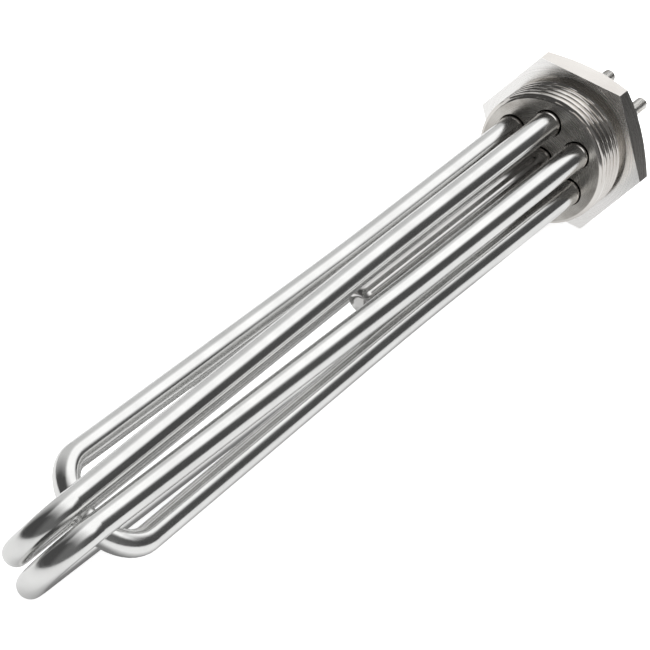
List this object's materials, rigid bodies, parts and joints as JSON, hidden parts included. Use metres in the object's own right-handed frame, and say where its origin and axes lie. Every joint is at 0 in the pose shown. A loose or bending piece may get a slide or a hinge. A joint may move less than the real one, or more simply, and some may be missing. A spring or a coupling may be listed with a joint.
{
  "type": "oil tank heating element",
  "caption": "Screw-in immersion heater: nested hairpin tubes and a sensor pocket brazed into a hexagonal threaded plug, with stud terminals and a star plate behind.",
  "frame": {"origin": "on the thread's axis, in the plane of the hexagon's sealing face, which is also a point on the axis of the sensor pocket", "axes": "+X along the thread's axis to the terminals, so the heated loops lie towards -X; +Z is normal to one flat of the hexagon; +Y completes the right-handed frame, through two corners of the hexagon"},
  "size_m": [0.358, 0.0554, 0.048],
  "materials": {
    "plug_steel": "turned stainless steel, heat-tinted straw to brown in the terminal chamber",
    "sheath_steel": "bright drawn stainless steel tube, heat-tinted beside the brazed joints",
    "pocket_steel": "drawn stainless steel tube, heat-tinted",
    "braze": "bright nickel braze",
    "nut_steel": "bright stainless steel",
    "washer_steel": "stamped stainless steel",
    "spring_steel": "dark spring steel",
    "plate_nickel": "bright nickel-plated sheet",
    "pin_steel": "rolled stainless steel stud",
    "magnesia": "pressed white magnesia powder",
    "ceramic": "cream steatite ceramic",
    "seal_rubber": "red-brown silicone seal",
    "coil_alloy": "dull resistance alloy"
  },
  "bodies": {
    "root": {"plug_body": "plug_steel", "sensor_pocket": "pocket_steel", "brazed_joints": "braze", "support_nuts": "nut_steel", "terminal_nuts": "nut_steel", "lower_washers": "washer_steel", "upper_washers": "washer_steel", "spring_washers": "spring_steel", "star_plate": "plate_nickel", "sheath_centre_loop": "sheath_steel", "filling_centre_loop": "magnesia", "coil_centre_loop": "coil_alloy", "terminal_pin_centre_loop_1": "pin_steel", "end_bush_centre_loop_1": "ceramic", "end_seal_centre_loop_1": "seal_rubber", "terminal_pin_centre_loop_2": "pin_steel", "end_bush_centre_loop_2": "ceramic", "end_seal_centre_loop_2": "seal_rubber", "sheath_left_loop": "sheath_steel", "filling_left_loop": "magnesia", "coil_left_loop": "coil_alloy", "terminal_pin_left_loop_1": "pin_steel", "end_bush_left_loop_1": "ceramic", "end_seal_left_loop_1": "seal_rubber", "terminal_pin_left_loop_2": "pin_steel", "end_bush_left_loop_2": "ceramic", "end_seal_left_loop_2": "seal_rubber", "sheath_right_loop": "sheath_steel", "filling_right_loop": "magnesia", "coil_right_loop": "coil_alloy", "terminal_pin_right_loop_1": "pin_steel", "end_bush_right_loop_1": "ceramic", "end_seal_right_loop_1": "seal_rubber", "terminal_pin_right_loop_2": "pin_steel", "end_bush_right_loop_2": "ceramic", "end_seal_right_loop_2": "seal_rubber"}
  },
  "joints": []
}
